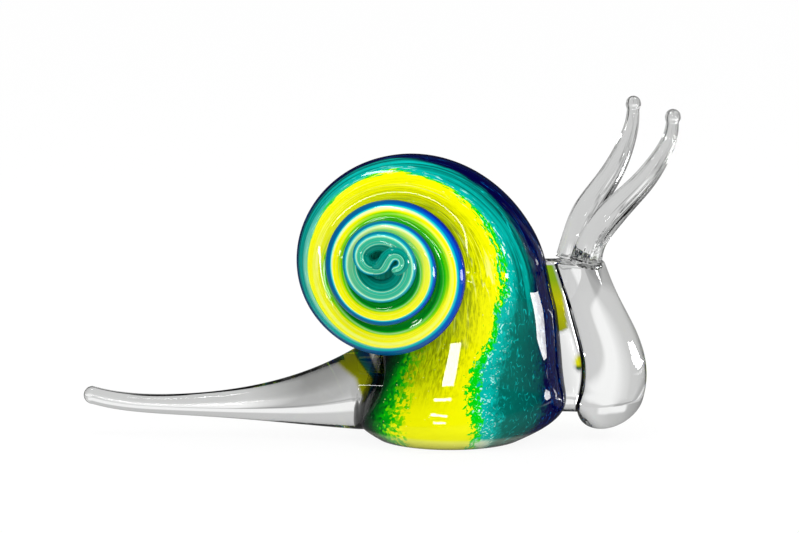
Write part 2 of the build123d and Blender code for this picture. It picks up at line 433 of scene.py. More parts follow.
@dataclass
class Rope:
    """The coloured rope of the shell, in mm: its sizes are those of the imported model."""

    foot_half_width: float = 42.5
    foot_half_depth: float = 32.0
    foot_lean: float = 9.7
    column_half_depth: float = 25.0
    coil_centre: Span = (-23.5, 71.7)
    apex_shift: Span = (-4.9, 11.2)
    coil_radius: float = 29.5
    apex_radius: float = 7.0
    tightening: float = 1.84
    full_turns: float = 4.0
    spiral_turns: float = 3.4
    quarter: float = 0.25
    tip_radius: float = 2.0
    taper_radius: float = 9.7
    taper: float = 0.492
    swell_radius: float = 18.6
    swell_turns: float = 0.18
    flatness: float = 0.88
    curl_outer: Span = (4.4, 17.0)
    curl_inner: Span = (3.1, 13.0)
    curl_ease: float = 3.0
    curl_ropes: Span = (2.9, 2.1)
    curl_step: float = 0.6
    clearance: float = 0.6
    sweep: float = 1.6
    neighbour: float = 4.5
    per_turn: int = 48
    smoothing: int = 3
    settling: int = 6
    fall: float = 0.25
    # (height, half width, half depth, lean forward) as shares
    foot_shares: Rows = (
        (0.000, 0.70, 0.74, 0.00), (0.056, 0.86, 0.91, 0.10), (0.165, 1.00, 1.00, 0.44),
        (0.305, 0.955, 0.94, 0.67), (0.500, 0.87, 0.88, 0.88), (0.725, 0.80, 0.83, 1.00),
    )

    def radius(self, turns: Array) -> Array:
        """Half width: tip + taper e^(-share turns) + swell e^(-turns / swell turns)."""
        steady = self.taper_radius * np.exp(-self.taper * turns)
        return self.tip_radius + steady + self.swell_radius * np.exp(-turns / self.swell_turns)

    def half_depth(self, turns: Array) -> Array:
        """Half depth: the half width times a share that goes from the column's to the coil's."""
        column = self.column_half_depth / self.radius(0.0)
        return self.radius(turns) * np.interp(turns, [0, self.quarter], [column, self.flatness])

    def column(self) -> Array:
        """Stations (x, z, half width, half depth) of the foot and column, from the ground up."""
        sizes = (self.coil_centre[1], self.foot_half_width, self.foot_half_depth, self.foot_lean)
        return (np.array(self.foot_shares) * sizes)[:, [3, 0, 1, 2]]

    def coil(self) -> Array:
        """Stations of the coil as seen from the front.

        The spiral's radius is apex + (coil - apex) (1 - wound)^tightening, about a centre that
        drifts with wound. The curl's heading is the sum of its bend, 1/outer and then -1/inner.

        Returns:
            Rows of (x, z, half width, half depth, turns).
        """
        turns = np.arange(round(self.spiral_turns * self.per_turn) + 1) / self.per_turn
        wound = (turns - self.quarter) / (self.full_turns - self.quarter)
        span = self.coil_radius - self.apex_radius
        spiral = self.apex_radius + span * (1 - wound) ** self.tightening
        drift = np.maximum(0, wound)
        angle = 2 * np.pi * turns
        x = self.coil_centre[0] + self.apex_shift[0] * drift + spiral * np.cos(angle)
        z = self.coil_centre[1] + self.apex_shift[1] * drift + spiral * np.sin(angle)
        stations = rows(x, z, self.radius(turns), self.half_depth(turns), turns)

        outer, outer_length = self.curl_outer
        inner, inner_length = self.curl_inner
        length = outer_length + inner_length
        steps = int(np.ceil(length / self.curl_step - TINY))
        run = np.arange(1, steps + 1) * self.curl_step
        change = share_of(run, outer_length - self.curl_ease, outer_length + self.curl_ease)
        bend = 1 / outer - (1 / inner + 1 / outer) * change
        start = np.arctan2(z[-1] - z[-2], x[-1] - x[-2])
        heading = start + np.cumsum(bend) * self.curl_step
        middle, tip = self.curl_ropes
        first = stations[-1, 2]
        rope = first + (middle - first) * np.minimum(1, run / outer_length)
        rope += (tip - middle) * np.maximum(0, (run - outer_length) / inner_length)
        curl = rows(
            x[-1] + np.cumsum(np.cos(heading)) * self.curl_step,
            z[-1] + np.cumsum(np.sin(heading)) * self.curl_step,
            rope,
            rope * self.flatness,
            turns[-1] + run / length * self.quarter,
        )
        return np.concatenate([stations, curl])

    def free(self, coil: Array, steps: Array) -> Array:
        """How far each station would stand out with nothing behind it: -reach share^sweep."""
        reach = self.column_half_depth + coil[self.per_turn, 3] + self.clearance
        return -reach * np.minimum(1, steps / self.per_turn) ** self.sweep

    def rested(self, coil: Array, runs: Array, depths: Array) -> Array:
        """One pass that lays each station of the coil against what lies behind it.

        Two ellipses touch where (apart / widths)^2 + (between / depths)^2 = 1.

        Args:
            coil: the coil's stations.
            runs: distance along the rope to each.
            depths: the stations' depths so far.

        Returns:
            The new depths.
        """
        column = self.column()
        back = np.concatenate([column, coil[:, :4]])
        back_depth = np.concatenate([np.zeros(len(column)), depths])
        free = self.free(coil, np.arange(len(coil)))
        rested = np.zeros(len(coil))
        for i, (x, z, width, depth, _) in enumerate(coil):
            front = free[i]
            if i > self.per_turn:
                front = rested[i - 1] + self.fall * (runs[i] - runs[i - 1])
            first = 0 if i > self.per_turn / 2 else len(column)
            reached = np.searchsorted(runs[:i], runs[i] - self.neighbour * width, "right")
            behind = slice(first, len(column) + reached)
            near = back[behind]
            apart = np.hypot(x - near[:, 0], z - near[:, 1]) / (near[:, 2] + width + self.clearance)
            reach = (near[:, 3] + depth + self.clearance) * np.sqrt(np.maximum(0, 1 - apart**2))
            fronts = np.where(apart < 1, back_depth[behind] - reach, np.inf)
            rested[i] = min(front, fronts.min(initial=np.inf))
        return rested

    def depths(self, coil: Array, runs: Array) -> Array:
        """Depths of the coil's stations after some passes, each smoothed by least and by mean.

        Args:
            coil: the coil's stations.
            runs: distance along the rope to each.

        Returns:
            The depths.
        """
        steps = np.arange(len(coil))
        depths = self.free(coil, steps)
        side = np.minimum(np.minimum(self.smoothing, steps), len(coil) - 1 - steps)
        offsets = np.arange(-self.smoothing, self.smoothing + 1)
        window = np.clip(steps[:, None] + offsets, 0, len(coil) - 1)
        inside = np.abs(offsets) <= side[:, None]
        for _ in range(self.settling):
            depths = self.rested(coil, runs, depths)
            depths = np.where(inside, depths[window], np.inf).min(axis=1)
            depths = np.where(inside, depths[window], 0).sum(axis=1) / inside.sum(axis=1)
        return depths

    def frames(self) -> dict[str, Array]:
        """Frames of the whole rope, from the ground to its tip.

        Returns:
            centre, outward and side vectors, half width, half depth, turns (from -1 at the
            ground) and the run along the rope, one row for each station.
        """
        coil = self.coil()
        runs = run_along(coil[:, :2])
        depths = self.depths(coil, runs)
        centres = rows(coil[:, 0], depths, coil[:, 1])
        along = np.empty_like(centres)
        along[1:-1] = centres[2:] - centres[:-2]
        along[-1] = centres[-1] - centres[-2]
        along[0] = (0, 0, 1)
        column = self.column()
        centres = np.concatenate([rows(column[:, 0], 0.0, column[:, 1]), centres])
        along = unit(np.concatenate([np.tile([0.0, 0.0, 1.0], (len(column), 1)), along]))
        outward = unit(np.cross([0, 1, 0], along))
        return {
            "centre": centres,
            "outward": outward,
            "side": np.cross(outward, along),
            "width": np.concatenate([column[:, 2], coil[:, 2]]),
            "depth": np.concatenate([column[:, 3], coil[:, 3]]),
            "turns": np.concatenate([column[:, 1] / self.coil_centre[1] - 1, coil[:, 4]]),
            "run": run_along(centres),
        }


def fire_polish() -> Tree:
    """The effect that all the glass shares: the soft lines and ripples of hot work.

    Returns:
        A group with the inputs Across and Along, in cycles per mm round and along the drawn
        glass, and Depth, in metres, and with the output Normal.
    """
    tree = bpy.data.node_groups.new("fire_polish", "ShaderNodeTree")
    for name in ("Across", "Along", "Depth"):
        tree.interface.new_socket(name, in_out="INPUT", socket_type="NodeSocketFloat")
    tree.interface.new_socket("Normal", in_out="OUTPUT", socket_type="NodeSocketVector")
    g = Graph(tree)
    across, along, depth = list(g.node("NodeGroupInput").outputs)[:3]
    scale = g.node("ShaderNodeCombineXYZ", i0=across, i1=across, i2=along).outputs[0]
    drawn = g.vector("MULTIPLY", g.attribute("drawn", "Vector"), scale)
    lines = g.node("ShaderNodeTexNoise", Vector=drawn, Scale=1.0, Detail=1.0).outputs["Fac"]
    bump = g.node("ShaderNodeBump", Strength=1.0, Distance=depth, Height=lines)
    g.node("NodeGroupOutput", Normal=bump.outputs[0])
    return tree


class FritGraph(Graph):
    """The graph of the cased glass, with the sockets that its layers share.

    band is the place across the rope and wind the number of turns. frit is 1 where the grains lie
    thick. place is band with edges that the grains make ragged and that the drawing out lengthens.
    """

    frit_turns: Limits = (0.15, 0.9, 1.0, 0.12)
    grain_scale: Span = (1.0, 0.55)
    grain_zone: Limits = (0.55, 0.60, 0.68, 0.74)
    grain_sizes: Span = (0.012, 0.11)
    fine_noise: tuple[Span, float, float] = ((0.9, 0.35), 3.0, 0.8)
    fine_size: float = 0.07
    coarse_noise: tuple[Span, float] = ((0.16, 0.05), 3.0)
    coarse_size: float = 0.05
    thread_noise: tuple[Span, float, float] = ((0.09, 0.004), 4.0, 0.2)
    thread_sizes: Limits = (0.3, 1.2, 0.03, 0.34)

    def __init__(self, tree: Tree) -> None:
        """Fills a tree with the shared sockets.

        Args:
            tree: the material's tree.
        """
        super().__init__(tree)
        self.band, self.wind = self.attribute("band"), self.attribute("wind")
        self.drawn = self.attribute("drawn", "Vector")
        self.frit = self.ease(self.wind, *self.frit_turns)
        self.fine = self.noise(*self.fine_noise)
        self.thread = self.noise(*self.thread_noise)
        _, tints = self.cells(self.grain_scale)
        size = self.remap(self.zone(self.band, self.grain_zone), 0.0, 1.0, *self.grain_sizes)
        grains = self.plus(self.swing(tints[0], size), self.swing(self.fine, self.fine_size))
        coarse = self.swing(self.noise(*self.coarse_noise), self.coarse_size)
        thread = self.swing(self.thread, self.ease(self.wind, *self.thread_sizes))
        self.place = self.plus(self.band, self.times(grains, self.frit), coarse, thread)

    def scaled(self, across: float, along: float) -> Socket:
        """The place on the drawn glass, in cycles."""
        return self.vector("MULTIPLY", self.drawn, (across, across, along))

    def noise(self, scale: Span, detail: float = 0.0, distortion: float = 0.0) -> Socket:
        """A noise on the drawn glass, with its cycles per mm across and along it."""
        sizes = {"Scale": 1.0, "Detail": detail, "Distortion": distortion}
        return self.node("ShaderNodeTexNoise", Vector=self.scaled(*scale), **sizes).outputs["Fac"]

    def cells(self, scale: Span) -> tuple[Socket, list[Socket]]:
        """Cells on the drawn glass.

        Args:
            scale: cells per mm across and along it.

        Returns:
            The distance to a cell's middle, and the cell's three tints.
        """
        cell = self.node("ShaderNodeTexVoronoi", Vector=self.scaled(*scale), Scale=1.0).outputs
        tints = self.node("ShaderNodeSeparateColor", i0=cell["Color"]).outputs
        return cell["Distance"], list(tints)


class Pattern(Enum):
    """What draws a layer of marks.

    They lie where a noise is high, as thin curved strokes where it is near its middle value, in
    the middle of some cells, or as an even rise across the bands.
    """

    NOISE = auto()
    HAIRS = auto()
    DOTS = auto()
    PLACE = auto()


@dataclass(frozen=True)
class Marks:
    """A layer of marks of one colour, between limits across the bands and along the turns.

    reach says at which values of the pattern the marks start and are full, and scale has its
    cycles per mm across and along the rope. The share of fritted marks goes with the frit.
    """

    color: Color
    share: float
    places: Limits
    turns: Limits
    pattern: Pattern
    reach: Span
    scale: Span = (1.0, 1.0)
    detail: float = 0.0
    distortion: float = 0.0
    fritted: bool = False


@dataclass(frozen=True)
class CasedGlass:
    """Coloured frit under a clear casing: bands along the rope, with ragged, flecked edges."""

    navy: Color = srgb(0, 0, 52)
    ink: Color = srgb(2, 8, 30)
    blue: Color = srgb(0, 34, 170)
    azure: Color = srgb(0, 104, 190)
    sea: Color = srgb(0, 96, 128)
    deep_teal: Color = srgb(0, 70, 68)
    teal: Color = srgb(0, 98, 88)
    turquoise: Color = srgb(0, 172, 160)
    cyan: Color = srgb(10, 196, 190)
    leaf: Color = srgb(0, 205, 10)
    yellow: Color = srgb(238, 238, 0)
    cream: Color = srgb(255, 238, 120)
    lime: Color = srgb(120, 215, 0)
    green: Color = srgb(0, 182, 6)
    moss: Color = srgb(0, 146, 28)
    bottle: Color = srgb(0, 66, 22)
    black: Color = srgb(2, 8, 12)
    olive: Color = srgb(96, 112, 0)
    olive_green: Color = srgb(128, 168, 0)
    fleck: Color = srgb(196, 255, 246)
    pale_yellow: Color = srgb(255, 255, 170)
    pale: Color = srgb(226, 230, 205)
    fibre: Color = srgb(225, 250, 190)
    base_roughness: float = 0.35
    coat_roughness: float = 0.012
    index: float = 1.5
    # Both tables darken towards 1.0, the rope's inner side that faces into the coil: partly the
    # frit's deep colour, partly painted shade
    column: Stops = (
        (0.0, ink), (0.12, navy), (0.19, navy), (0.225, deep_teal), (0.33, teal),
        (0.375, turquoise), (0.40, turquoise), (0.412, yellow), (0.575, yellow), (0.61, lime),
        (0.66, green), (0.76, bottle), (0.84, black), (1.0, black),
    )
    coil: Stops = (
        (0.0, ink), (0.07, navy), (0.13, blue), (0.20, azure), (0.26, cyan), (0.35, cyan),
        (0.40, cream), (0.46, yellow), (0.57, yellow), (0.62, lime), (0.69, green), (0.86, moss),
        (1.0, bottle),
    )
    apex: Stops = (
        (0.0, srgb(0, 84, 120)), (0.16, srgb(0, 128, 150)), (0.25, srgb(40, 185, 190)),
        (0.31, srgb(150, 232, 215)), (0.37, srgb(0, 172, 148)), (0.50, srgb(30, 182, 150)),
        (0.56, srgb(0, 166, 138)), (0.64, srgb(70, 200, 180)), (0.70, srgb(0, 156, 136)),
        (1.0, srgb(0, 126, 118)),
    )
    # Where the parts of the pattern show, by turns, by place across the bands and by phase
    always: Limits = (-3.0, -2.0, 9.0, 10.0)
    early: Limits = (-3.0, -2.0, 0.5, 1.0)
    upper: Limits = (-0.45, 0.15, 0.5, 1.0)
    coiled: Limits = (0.3, 0.8, 9.0, 10.0)
    coil_shadow_turns: Limits = (-0.8, -0.5, 0.05, 0.45)
    teal_band: Limits = (0.2, 0.26, 0.385, 0.40)
    coil_shadow_places: Limits = (0.42, 0.50, 0.62, 0.68)
    coil_turns: Limits = (0.35, 1.0, 0.0, 1.0)
    rim_phases: Limits = (0.12, 0.3, 0.72, 0.9)
    rim_fade: Limits = (0.17, 0.25, 0.8, 0.0)
    leaf_start: Limits = (0.395, 0.402, 0.0, 1.0)
    leaf_end: Limits = (-0.6, 0.1, 0.425, 0.413)
    marks: tuple[Marks, ...] = (
        # The teal is brighter higher up, and its strokes are the ends of drawn grains
        Marks(turquoise, 0.9, teal_band, upper, Pattern.NOISE, (0.38, 0.62), (0.6, 0.04), 4.0, 0.3),
        Marks(cyan, 0.7, teal_band, early, Pattern.HAIRS, (0.03, 0.0), (0.5, 0.13), 1.0, 0.8),
        Marks(azure, 0.45, (0.04, 0.08, 0.2, 0.24), always, Pattern.HAIRS, (0.03, 0.0),
              (0.6, 0.12), 1.0, 0.8),
        # Pale flecks along the edge of the teal, and small dots over all of the frit
        Marks(fleck, 0.85, (0.335, 0.38, 0.40, 0.425), always, Pattern.NOISE, (0.60, 0.66),
              (0.95, 0.5), 2.0, 1.2, fritted=True),
        Marks(pale_yellow, 0.75, (0.42, 0.44, 0.72, 0.8), always, Pattern.DOTS, (0.13, 0.07),
              (0.42, 0.42), fritted=True),
        # Pale arcs in the yellow, drawn out along the rope
        Marks(pale_yellow, 0.6, (0.42, 0.44, 0.56, 0.60), (-0.5, -0.2, 0.8, 1.1), Pattern.HAIRS,
              (0.02, 0.0), (0.3, 0.02), 1.0, 0.8),
        # Painted shadow of the coil on the yellow beside it: an even olive green tint and dark
        # olive strokes
        Marks(olive_green, 0.6, coil_shadow_places, coil_shadow_turns, Pattern.PLACE, (0.45, 0.56)),
        Marks(olive, 0.7, coil_shadow_places, coil_shadow_turns, Pattern.NOISE, (0.42, 0.62), (1.5, 0.2), 3.0, 0.6),
    )
    # Fibres along the drawn rope: pale ones on its crest; dark ones towards its groove, partly
    # painted shade there
    fibres: tuple[Marks, ...] = (
        Marks(fibre, 0.7, (0.3, 0.38, 0.66, 0.8), coiled, Pattern.NOISE, (0.5, 0.66),
              (0.16, 0.008), 2.0, 0.4),
        Marks(bottle, 0.4, (0.5, 0.66, 1.1, 1.2), coiled, Pattern.NOISE, (0.5, 0.64),
              (0.19, 0.009), 2.0, 0.4),
    )
    dot_tints: Span = (0.55, 0.6)
    patch_scale: Span = (1.7, 1.9)
    patch_reach: Span = (0.48, 0.58)
    apex_turns: Limits = (1.75, 2.75, 0.0, 0.97)
    apex_swing: float = 0.55
    # The foot's ground rim, by height in metres
    foot_heights: Limits = (0.0042, 0.0062, 1.0, 0.0)
    foot_share: float = 0.2
    core_band: Limits = (0.345, 0.385, 0.40, 0.415)
    core_share: float = 0.85
    coat_places: Limits = (0.15, 0.24, 0.36, 1.0)
    relief_share: float = 0.12
    relief_depth: float = 0.0002
    ripples: Point = (0.06, 0.04, 0.00012)

    def marked(self, g: FritGraph, color: Socket, marks: Marks) -> Socket:
        """Colour with a layer of marks on it.

        Args:
            g: the material's graph.
            color: the colour below.
            marks: the layer.

        Returns:
            The colour.
        """
        shown = [g.zone(g.place, marks.places), g.zone(g.wind, marks.turns), marks.share]
        if marks.fritted:
            shown.append(g.frit)
        if marks.pattern is Pattern.PLACE:
            value = g.place
        elif marks.pattern is Pattern.DOTS:
            value, tints = g.cells(marks.scale)
            shown.append(g.remap(tints[1], *self.dot_tints, 0.0, 1.0))
        else:
            value = g.noise(marks.scale, marks.detail, marks.distortion)
        if marks.pattern is Pattern.HAIRS:
            value = g.math("ABSOLUTE", g.math("SUBTRACT", value, 0.5))
            patch = g.noise(np.multiply(marks.scale, self.patch_scale).tolist())
            shown.append(g.remap(patch, *self.patch_reach, 0.0, 1.0))
        return g.mix(g.times(g.remap(value, *marks.reach, 0.0, 1.0), *shown), color, marks.color)

    def material(self, polish: Tree) -> Material:
        """The material: the piece's band, wind and drawn attributes carry the pattern.

        Args:
            polish: the shared group of ripples.

        Returns:
            The material.
        """
        made, g = new_material("cased_glass", FritGraph)
        # The coil's rim is blue at the right of each turn and a blue-teal elsewhere
        phases = g.zone(g.math("FRACT", g.wind), self.rim_phases)
        rim = g.times(phases, g.remap(g.place, *self.rim_fade))
        coil = g.mix(rim, g.ramp(g.place, self.coil), self.sea)
        color = g.mix(g.ease(g.wind, *self.coil_turns), g.ramp(g.place, self.column), coil)
        # Bright green between teal and yellow, wide on the column and a line on the coil
        leaf = g.math("LESS_THAN", g.place, g.ease(g.wind, *self.leaf_end))
        leaf = g.times(leaf, g.remap(g.place, *self.leaf_start), g.zone(g.wind, self.early))
        color = g.mix(leaf, color, self.leaf)
        for marks in self.marks:
            color = self.marked(g, color, marks)
        # The colour thins out towards the apex, where the glass is a clearer green
        apex = g.ramp(g.plus(g.band, g.swing(g.thread, self.apex_swing)), self.apex)
        color = g.mix(g.ease(g.wind, *self.apex_turns), color, apex)
        for marks in self.fibres:
            color = self.marked(g, color, marks)
        # The foot's rim near the floor is paler, a painted refraction of the bright floor through
        # clear glass there, and the cream of the core shows in a line
        _, _, height = g.axes(g.where())
        foot = g.ease(height, *self.foot_heights)
        color = g.mix(g.times(foot, self.foot_share), color, self.pale)
        core = g.times(foot, g.zone(g.place, self.core_band), self.core_share)
        color = g.mix(core, color, self.pale)
        sizes = {"Strength": self.relief_share, "Distance": self.relief_depth}
        relief = g.node("ShaderNodeBump", Height=g.fine, **sizes).outputs[0]
        shader = g.node(
            "ShaderNodeBsdfPrincipled",
            Base_Color=color,
            Roughness=self.base_roughness,
            IOR=self.index,
            Specular_IOR_Level=0.0,
            Coat_Weight=g.ease(g.place, *self.coat_places),
            Coat_Roughness=self.coat_roughness,
            Coat_IOR=self.index,
            Normal=relief,
            Coat_Normal=g.ripples(polish, *self.ripples),
        )
        g.surface(shader)
        return made


@dataclass(frozen=True)
class ClearGlass:
    """Clear, fire-polished glass, with the lines that it was drawn out in."""

    name: str = "clear_glass"
    tint: Color = (0.93, 0.935, 0.93, 1.0)
    index: float = 1.5
    across: float = 0.22
    along: float = 0.012
    line_depth: float = 0.00025
    # Colours of the shell, painted into the glass of a joint as a painted refraction
    refracted_colours: Stops = (
        (0.0, srgb(20, 22, 70)), (0.15, srgb(0, 60, 110)), (0.3, srgb(0, 96, 90)),
        (0.4, srgb(20, 100, 40)), (0.5, srgb(110, 118, 10)), (0.65, srgb(180, 186, 10)),
        (0.8, srgb(228, 226, 0)), (1.0, srgb(160, 205, 20)),
    )

    def material(self, polish: Tree) -> Material:
        """The material: the piece's drawn attribute carries the lines, and another attribute the
        shell's colours painted in as a refraction.

        Args:
            polish: the shared group of ripples.

        Returns:
            The material.
        """
        made, g = new_material(self.name)
        amount, hue, _ = g.axes(g.attribute("refraction", "Vector"))
        # A face passes the root of its colour
        squares = tuple((at, tuple(v * v for v in color)) for at, color in self.refracted_colours)
        shader = g.node(
            "ShaderNodeBsdfPrincipled",
            Base_Color=g.mix(amount, self.tint, g.ramp(hue, squares)),
            Roughness=0.0,
            IOR=self.index,
            Transmission_Weight=1.0,
            Normal=g.ripples(polish, self.across, self.along, self.line_depth),
        )
        g.surface(shader)
        return made


@dataclass
class Shell:
    """The cased rope from its ground foot to the curl at its tip, as one closed surface."""

    rope: Rope
    rings: int = 900
    around: int = 100
    tip_rings: int = 12
    drawn_radius: float = 30.0
    drawn_power: float = 1.5
    tip_end: float = 0.999
    # Turns, and the angles at which the bands 0.2, 0.4, 0.6 and 0.8 begin on the viewer's side
    near: Rows = (
        (-1.0, 42, 68, 127, 150), (-0.9, 42, 76, 128, 151), (-0.78, 42, 82, 128, 151),
        (-0.62, 41, 86, 129, 148), (-0.5, 41, 84, 128, 146), (-0.4, 40, 79, 127, 148),
        (-0.1, 42, 67, 130, 155), (0.125, 32, 61, 122, 150), (0.2, 25, 53, 120, 150),
        (0.25, 14, 42, 118, 148), (0.5, 20, 54, 88, 105), (0.75, 44, 62, 94, 116),
        (1.0, 46, 60, 77, 99), (1.25, 34, 43, 66, 96), (1.5, 44, 51, 78, 104),
        (1.75, 48, 58, 84, 110), (2.0, 40, 56, 80, 108), (2.25, 30, 42, 66, 100),
        (2.5, 38, 52, 78, 108), (4.0, 38, 54, 80, 110),
    )
    # Angle and band on the far side, the same all along
    far: Rows = (
        (-180, 1.0), (-171, 1.0), (-169, 0.10), (-160, 0.30), (-152, 0.50),
        (-90, 0.56), (-66, 0.60), (-20, 0.58), (-14, 0.25), (0, 0.0),
    )

    def sections(self) -> dict[str, Array]:
        """The rope's frames, evened out so that rings stand closer where the rope is thin.

        Returns:
            The frames by name, with the tip rounded off: at share s along the last radius, a ring
            has sqrt(1 - s^2) of its size.
        """
        frames = self.rope.frames()
        run = frames["run"]
        closeness = summed(np.diff(run) / np.sqrt(frames["width"][1:]))
        even = np.linspace(0, closeness[-1], self.rings - self.tip_rings)
        wanted = np.interp(even, closeness, run)
        made = {}
        for key, values in frames.items():
            curve = spline(run, values.reshape(len(run), -1), wanted)
            made[key] = curve if values.ndim == 2 else curve[:, 0]
        share = np.sin(np.linspace(0, np.pi / 2, self.tip_rings + 1))[1:]
        share[-1] = self.tip_end
        rim = np.sqrt(1 - share**2)
        width, depth = made["width"][-1], made["depth"][-1]
        along = unit(made["centre"][-1] - made["centre"][-2])
        tip = {key: np.repeat(values[-1:], self.tip_rings, axis=0) for key, values in made.items()}
        tip["centre"] = tip["centre"] + along * (share * width)[:, None]
        tip["run"] = tip["run"] + share * width
        tip["width"] = width * rim
        tip["depth"] = depth * rim
        made = {key: np.concatenate([made[key], tip[key]]) for key in made}
        for key in ("outward", "side"):
            made[key] = unit(made[key])
        return made

    def band(self, turns: Array, angles: Array) -> Array:
        """Place across the bands of colour, by how far a point is from the rope's outer line.

        Args:
            turns: turns of each ring.
            angles: angles of the points of every ring, 0 outward and 90 degrees to the viewer.

        Returns:
            Places from 0 to 1, as rings x points.
        """
        known, *starts = np.transpose(self.near)
        turned = (np.degrees(angles) + 180) % 360 - 180
        shown = turned >= 0
        edges = rows(0.0, *(np.interp(turns, known, start) for start in starts), 180.0)
        steps = turned[shown][None, :, None] - edges[:, None, :-1]
        steps /= np.diff(edges, axis=1)[:, None, :]
        places = np.empty((len(turns), len(angles)))
        places[:, shown] = np.clip(steps, 0, 1).mean(axis=-1)
        places[:, ~shown] = looked_up(turned[~shown], self.far)
        return places

    def build(self) -> Mesh:
        """The shell's mesh, with the attributes band, wind and drawn.

        Returns:
            The mesh.
        """
        frames = self.sections()
        angles = circle(self.around)
        rings = rings_about(
            frames["centre"],
            frames["outward"] * frames["width"][:, None],
            frames["side"] * frames["depth"][:, None],
            angles,
        )
        mesh = tube_mesh("shell", rings, flat_start=True)
        set_attribute(mesh, "band", self.band(frames["turns"], angles))
        set_attribute(mesh, "wind", np.repeat(frames["turns"][:, None], self.around, axis=1))
        share = (frames["width"] / self.drawn_radius) ** self.drawn_power
        set_drawn(mesh, angles, self.drawn_radius, summed(np.diff(frames["run"]) * share[1:]))
        return mesh


@dataclass
class Apex:
    """The film of glass inside the innermost turn, which closes the shell's centre, in mm.

    bands are its places across the bands of colour, in its middle and at its edge.
    """

    rope: Rope
    start_turns: float = 2.4
    join_turns: float = 0.3
    half_thickness: float = 0.8
    around: int = 96
    rings: int = 40
    lead_turns: float = 1.1
    rounding: float = 0.01
    bands: Span = (0.84, 0.78)
    wind: float = 3.2
    drawn_scale: float = 3.0

    def build(self) -> Mesh:
        """The film's mesh, with the attributes band, wind and drawn.

        Its edge runs along the rope's own middle line for one turn, and over the last part of it
        eases back to where it began, so that it lies inside the rope all round. At share s from
        the middle to the edge, a point is middle + (edge - middle) s, and the film is
        half thickness sqrt(1 - s^2) thick to each side.

        Returns:
            The mesh.
        """
        frames = self.rope.frames()
        turns = self.start_turns + np.arange(self.around) / self.around
        lead = frames["turns"] > self.start_turns - self.lead_turns
        known, line = frames["turns"][lead], frames["centre"][lead]

        def along(at: Array) -> Array:
            """Points of the rope's middle line at some turns."""
            return rows(*(np.interp(at, known, values) for values in line.T))

        end = self.start_turns + 1
        back = share_of(turns, end - self.join_turns, end)[:, None]
        back = back * back * (3 - 2 * back)
        edge = (1 - back) * along(turns) + back * along(turns - 1)
        middle = edge.mean(axis=0)
        share = np.sin(np.linspace(self.rounding, np.pi - self.rounding, self.rings))
        rings = middle + (edge - middle)[None, :, :] * share[:, None, None]
        thick = -self.half_thickness * np.cos(np.linspace(0, np.pi, self.rings))
        rings[:, :, 1] += thick[:, None]
        mesh = tube_mesh("apex", rings)
        wide = np.repeat(share[:, None], self.around, axis=1)
        set_attribute(mesh, "band", np.interp(wide, [0, 1], self.bands))
        set_attribute(mesh, "wind", np.full_like(wide, self.wind))
        set_attribute(mesh, "drawn", rings * self.drawn_scale)
        return mesh


@dataclass
class Tail:
    """The clear tail: a drawn-out cone with a rounded tip, in mm."""

    length: float = 109.0
    root_x: float = -37.0
    root_radius: float = 17.2
    tip_radius: float = 3.7
    depth_share: float = 0.92
    low_z: float = 12.9
    root_rise: float = 7.4
    tip_rise: float = 4.2
    swell: float = 2.7
    root_bend: float = 4.0
    tip_bend: float = 8.0
    embed: float = 15.0
    drawn_radius: float = 10.0
    rings: int = 260
    around: int = 96
    tip_rings: int = 20
    root_rings: int = 39
    tip_angle: float = 1.54
    # Painted refraction of the shell in the joint: its line as (height, x), its width (the least,
    # and at a level), the shares across it and the heights over which it comes and goes, and its
    # (share, hue)
    joint: Rows = ((0, -36.0), (17, -34.8), (27, -29.9), (36.5, -37.0))
    joint_widths: Point = (1.5, 2.0, 19.6)
    joint_start: Span = (0.0, 0.2)
    joint_end: Span = (1.3, 1.3 - 1 / 12)
    joint_heights: Span = (16.0, 18.0)
    hues: Rows = ((0.1, 0.8), (0.35, 0.62), (0.85, 0.6), (0.92, 0.3), (1.0, 0.22), (1.2, 0.1))

    def build(self) -> Mesh:
        """The tail's mesh.

        At share s from tip to root, the radius is tip + (root - tip) s^swell and the height is
        low + root rise s^root bend + tip rise (1 - s)^tip bend. The tip is a half ellipsoid.

        Returns:
            The mesh.
        """
        share = np.linspace(0, 1, self.rings)
        radius = self.tip_radius + (self.root_radius - self.tip_radius) * share**self.swell
        z = self.low_z + self.root_rise * share**self.root_bend
        z += self.tip_rise * (1 - share) ** self.tip_bend
        x = self.root_x - self.length * (1 - share)
        angle = np.linspace(np.pi / 2, 0, self.tip_rings, endpoint=False)
        angle[0] = self.tip_angle
        sunk = self.embed * np.linspace(0, 1, self.root_rings + 1)[1:]
        x = np.concatenate([x[0] - radius[0] * np.sin(angle), x, x[-1] + sunk])
        z = np.pad(z, (self.tip_rings, self.root_rings), "edge")
        radius = np.pad(radius, (self.tip_rings, self.root_rings), "edge")
        radius[: self.tip_rings] *= np.cos(angle)
        angles = circle(self.around)
        across, upward = rows(0.0, radius * self.depth_share, 0.0), rows(0.0, 0.0, radius)
        rings = rings_about(rows(x, 0.0, z), upward, across, angles)
        mesh = tube_mesh("tail_glass", rings)
        set_drawn(mesh, angles, self.drawn_radius, x)
        # The shell's yellow and teal are painted in a crescent at the joint, on the viewer's side,
        # as a painted refraction
        at, aside, up = np.moveaxis(rings, -1, 0)
        least, wide, level = self.joint_widths
        share = 1 - (looked_up(up, self.joint) - at) / np.maximum(least, wide + up - level)
        amount = share_of(share, *self.joint_start) * share_of(share, *self.joint_end)
        amount *= share_of(up, *self.joint_heights) * (aside < 0)
        set_painted_refraction(mesh, amount, looked_up(share, self.hues))
        return mesh


